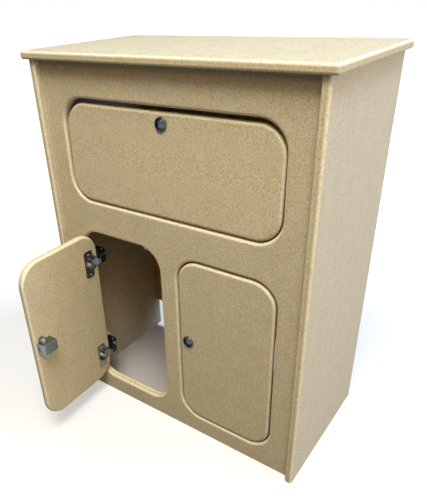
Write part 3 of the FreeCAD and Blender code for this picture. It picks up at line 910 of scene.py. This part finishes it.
        # radius, height and rounding of each corner
        corners = [(self.bezel_bore, 1.4, 0), (self.bezel_bore, self.bezel_height, 0.45),
                   (self.bezel_radius - 1.3, self.bezel_height, 0.5), (self.bezel_radius - 0.4, 2.2, 0.7),
                   (self.bezel_radius, 0.9, 0.5), (self.bezel_radius, 0.0, 0), (self.bezel_bore, 0.0, 0)]
        return spin_ring(rounded(corners))

    def lug(self) -> Solid:
        """Turn a fixing lug: a round boss with a softened edge."""
        # radius, height and rounding of each corner
        corners = [(0.0, self.lug_height, 0), (self.lug_radius - self.lug_break, self.lug_height, 0.3),
                   (self.lug_radius, self.lug_height - self.lug_break, 0.5), (self.lug_radius, 0.0, 0),
                   (0.0, 0.0, 0)]
        return spin(rounded(corners))

    def dress(self) -> None:
        """Give the panel, its hinges and its lock their finishes."""
        normal = Vector(record_joint(self.name + "_knob_push")["axis"])
        panel = "panel_" + self.name
        # on the right door and the flap this darker core is painted shade that darkens their gaps
        sheet = RawFibreboard(core_dark=self.edge)
        dress(panel, sheet.make("raw_fibreboard_" + panel, normal, middle_of(panel).dot(normal), BOARD / 2))
        nickel = NICKEL_PLATE.make("nickel_plated_steel_" + self.name)
        steel = STEEL_LINK.make("blued_steel_" + self.name)
        # the hinge plates' black is painted shade, a dark coat standing in for the shade they sit in
        black = BLACK_STEEL_AND_PAINTED_SHADE.make("hinge_plate_painted_shade_" + self.name)
        for spot in self.spots:
            tag = self.name + "_" + spot
            dress("hinge_cup_" + tag, nickel)
            dress("hinge_arm_" + tag, steel)
            dress("hinge_plate_" + tag, black)
        dress("hinge_links_" + self.name, steel)
        cast = CAST_ZINC.make("die_cast_zinc_" + self.name)
        dress("lock_case_" + self.name, cast)
        dress("lock_tongue_" + self.name, cast)


@dataclass(frozen=True)
class Lamp:
    """One square studio lamp: watts, colour, place, target and side in metres."""

    name: str
    power: float
    colour: str
    place: Place
    target: Place
    size: float

    def hang(self) -> None:
        """Add the lamp, pointing at its target."""
        data = bpy.data.lights.new(self.name, "AREA")
        data.energy = self.power
        data.color = linear(self.colour)[:3]
        data.size = self.size
        lamp = bpy.data.objects.new(self.name, data)
        aim = (Vector(self.target) - Vector(self.place)).to_track_quat("-Z", "Y")
        lamp.matrix_world = Matrix.Translation(self.place) @ aim.to_matrix().to_4x4()
        bpy.context.scene.collection.objects.link(lamp)


LAMPS = (Lamp("key", 75.0, "#fff9ec", (0.4, -0.9, 2.9), (0.0, 0.0, 0.5), 1.2),
         Lamp("front_cool", 23.0, "#c4e8ff", (0.9, -1.1, 2.7), (0.0, 0.0, 0.5), 1.2),
         Lamp("front_warm", 24.0, "#ffcf94", (1.5, -1.5, 2.3), (0.0, 0.0, 0.5), 1.8),
         Lamp("front_glint", 5.0, "#fff0dc", (-1.5, -2.0, 2.0), (0.0, 0.0, 0.5), 0.6),
         Lamp("high_window", 46.0, "#b3d0ff", (1.0, 0.7, 2.9), (0.3, 0.14, 0.6), 0.6),
         Lamp("right_window", 35.0, "#fdf8ec", (2.6, 0.3, 0.8), (0.3, 0.14, 0.4), 1.6),
         Lamp("rear_window", 11.0, "#78a0ff", (2.2, 1.3, 1.3), (0.3, 0.14, 0.5), 1.4),
         Lamp("rear_soft", 18.0, "#ffffff", (-0.6, 3.0, 0.85), (0.0, 0.3, 0.4), 1.6),
         Lamp("rear_fill", 12.0, "#ffffff", (-2.1, 2.5, 0.75), (-0.1, 0.2, 0.4), 1.2))


@dataclass
class Studio:
    """The pale floor, the light and the camera at the photograph's place."""

    image: tuple[int, int] = (427, 500)
    focal_px: float = 510.2
    centre_px: Span = (177.25, 283.67)
    eye: Place = (0.55834, -0.69190, 0.87658)
    look: Place = (-0.533887, 0.682916, -0.498588)
    roll: float = math.radians(-2.781)
    sensor_mm: float = 36.0
    floor_half: float = 14.0
    floor_rows: int = 9
    floor_white: str = "#bcbcbc"
    # the floor throws less light back at the object than it shows
    floor_grey: str = "#646464"
    # under the cabinet the floor is painted in shade, a grey with no glow
    floor_painted_shade: str = "#b0aaa6"
    under_half: Span = (0.287, 0.137)
    under_middle: float = 0.1375
    under_fade: float = 0.008
    # the glow that makes the floor white where it is seen, near the cabinet and far from it
    floor_glow: Span = (0.41, 1.0)
    glow_reach: Span = (0.7, 2.0)
    floor_rough: float = 0.9
    floor_specular: float = 0.1
    # the sky's strength as a light and as it is seen
    sky: Span = (0.01, 1.0)

    def lay_floor(self) -> None:
        """Lay the floor, a flat sheet that ends out of view."""
        steps = np.linspace(-self.floor_half, self.floor_half, self.floor_rows)
        x, y = np.meshgrid(steps, steps, indexing="ij")
        points = np.stack([x, y, np.zeros_like(x)], -1).reshape(-1, 3)
        index = np.arange(points.shape[0]).reshape(x.shape)
        faces = np.stack([index[:-1, :-1], index[1:, :-1], index[1:, 1:], index[:-1, 1:]], -1).reshape(-1, 4)
        mesh = bpy.data.meshes.new("floor")
        mesh.from_pydata(points.tolist(), [], faces.tolist())
        floor = bpy.data.objects.new("floor", mesh)
        bpy.context.scene.collection.objects.link(floor)
        mesh.materials.append(self.floor_material())

    def floor_material(self) -> bpy.types.Material:
        """Build the pale floor: matt, white where it is seen, with painted shade under the cabinet.

        Returns:
            The material.
        """
        material, tree = blank_material("pale_floor")
        path = put(tree, "ShaderNodeLightPath")
        eye = put(tree, "ShaderNodeMath", {0: path.outputs["Is Camera Ray"],
                                          1: path.outputs["Is Glossy Ray"]}, operation="MAXIMUM")
        seen = put(tree, "ShaderNodeMath", {0: eye.outputs[0], 1: path.outputs["Is Transmission Ray"]},
                   operation="MAXIMUM")

        # outside the cabinet's footprint, where the painted shade under it ends
        spot = put(tree, "ShaderNodeTexCoord").outputs["Object"]
        place = put(tree, "ShaderNodeSeparateXYZ", {0: spot})
        aside = put(tree, "ShaderNodeMath", {0: place.outputs["X"]}, operation="ABSOLUTE")
        deep = put(tree, "ShaderNodeMath", {0: place.outputs["Y"], 1: self.under_middle},
                   operation="SUBTRACT")
        behind = put(tree, "ShaderNodeMath", {0: deep.outputs[0]}, operation="ABSOLUTE")
        past_side = put(tree, "ShaderNodeMapRange", {0: aside.outputs[0], 1: self.under_half[0],
                                                     2: self.under_half[0] + self.under_fade})
        past_rear = put(tree, "ShaderNodeMapRange", {0: behind.outputs[0], 1: self.under_half[1],
                                                     2: self.under_half[1] + self.under_fade})
        outside = put(tree, "ShaderNodeMath", {0: past_side.outputs[0], 1: past_rear.outputs[0]},
                      operation="MAXIMUM")

        # the glow, stronger far away
        bright = put(tree, "ShaderNodeMath", {0: outside.outputs[0], 1: seen.outputs[0]},
                     operation="MULTIPLY")
        reach = put(tree, "ShaderNodeVectorMath", {0: spot}, operation="LENGTH")
        level = put(tree, "ShaderNodeMapRange", {0: reach.outputs["Value"], 1: self.glow_reach[0],
                                                 2: self.glow_reach[1], 3: self.floor_glow[0],
                                                 4: self.floor_glow[1]})
        glow = put(tree, "ShaderNodeMath", {0: bright.outputs[0], 1: level.outputs[0]}, operation="MULTIPLY")
        # painted shade under the cabinet, white elsewhere
        shown = put(tree, "ShaderNodeMix", {0: outside.outputs[0], 6: linear(self.floor_painted_shade),
                                            7: linear(self.floor_white)}, data_type="RGBA")
        colour = put(tree, "ShaderNodeMix", {0: seen.outputs[0], 6: linear(self.floor_grey),
                                             7: shown.outputs[2]}, data_type="RGBA")
        shader = put(tree, "ShaderNodeBsdfPrincipled", {
            "Base Color": colour.outputs[2], "Roughness": self.floor_rough,
            "Specular IOR Level": self.floor_specular, "Emission Color": linear("#ffffff"),
            "Emission Strength": glow.outputs[0]})
        put(tree, "ShaderNodeOutputMaterial", {"Surface": shader.outputs[0]})
        return material

    def light(self) -> None:
        """Light the scene with a soft sky, white where it is seen, and the lamps."""
        world = bpy.data.worlds.new("studio")
        bpy.context.scene.world = world
        world.use_nodes = True
        tree = world.node_tree
        tree.nodes.clear()
        path = put(tree, "ShaderNodeLightPath")
        seen = put(tree, "ShaderNodeMath", {0: path.outputs["Is Camera Ray"],
                                           1: path.outputs["Is Glossy Ray"]}, operation="MAXIMUM")
        strength = put(tree, "ShaderNodeMapRange", {0: seen.outputs[0], 3: self.sky[0], 4: self.sky[1]})
        sky = put(tree, "ShaderNodeBackground", {"Color": linear("#ffffff"), "Strength": strength.outputs[0]})
        put(tree, "ShaderNodeOutputWorld", {"Surface": sky.outputs[0]})
        for lamp in LAMPS:
            lamp.hang()

    def stand_camera(self) -> None:
        """Place the camera from its eye, its line of sight, its roll and the picture's centre."""
        data = bpy.data.cameras.new("camera")
        width, height = self.image
        data.sensor_fit = "VERTICAL"
        data.sensor_height = self.sensor_mm
        data.lens = self.focal_px * self.sensor_mm / height
        data.shift_x = (width / 2 - self.centre_px[0]) / height
        data.shift_y = (self.centre_px[1] - height / 2) / height
        forward = Vector(self.look).normalized()
        right = forward.cross(Vector((0, 0, 1))).normalized()
        up = right.cross(forward)
        turn = Matrix((right, up, -forward)).transposed().to_4x4()
        camera = bpy.data.objects.new("camera", data)
        camera.matrix_world = Matrix.Translation(self.eye) @ turn @ Matrix.Rotation(self.roll, 4, "Z")
        bpy.context.scene.collection.objects.link(camera)
        bpy.context.scene.camera = camera

    def build(self) -> None:
        """Set up the whole studio."""
        bpy.context.scene.view_settings.view_transform = "Standard"
        self.lay_floor()
        self.light()
        self.stand_camera()


def main() -> None:
    """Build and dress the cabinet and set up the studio."""
    logging.basicConfig(level=logging.INFO, format="%(message)s")
    carcass = Carcass()
    carcass.dress()
    carcass.build()
    # the left door's knob stands out, the other two are pressed in
    # the right door's and the flap's darker edge colour is painted shade that makes the gaps round them look
    # shadowed
    fronts = (HingedFront("left", "left_door", ("upper", "lower"), across=(1, 0, 0), lock_u=190.0, lock_v=5.0,
                          knob_face=11.0, edge="#c8b98f"),
              HingedFront("right", "right_door", ("upper", "lower"), across=(-1, 0, 0), lock_u=190.0,
                          lock_v=-5.0, knob_face=2.0, edge="#9a8660"),
              HingedFront("flap", "upper_flap", ("left", "right"), across=(0, 0, 1), lock_u=170.5, lock_v=0.0,
                          knob_face=2.0, edge="#9a8660"))
    for front in fronts:
        front.dress()
        front.build()
    hinge_metal = ZINC_PLATE.make("zinc_plated_hinge_screws")
    for name, row, node in (("plate_screws", PLATE_ROW, "hinge_plate_screws"),
                            ("arm_screws", ARM_ROW, "hinge_arm_screws")):
        screws = [item for front in fronts for item in front.fixed_row(row)]
        add_piece(name, screws, hinge_metal, "carcass", Slot.SCREW_STEEL, node)
    Studio().build()


if __name__ == "__main__":
    main()
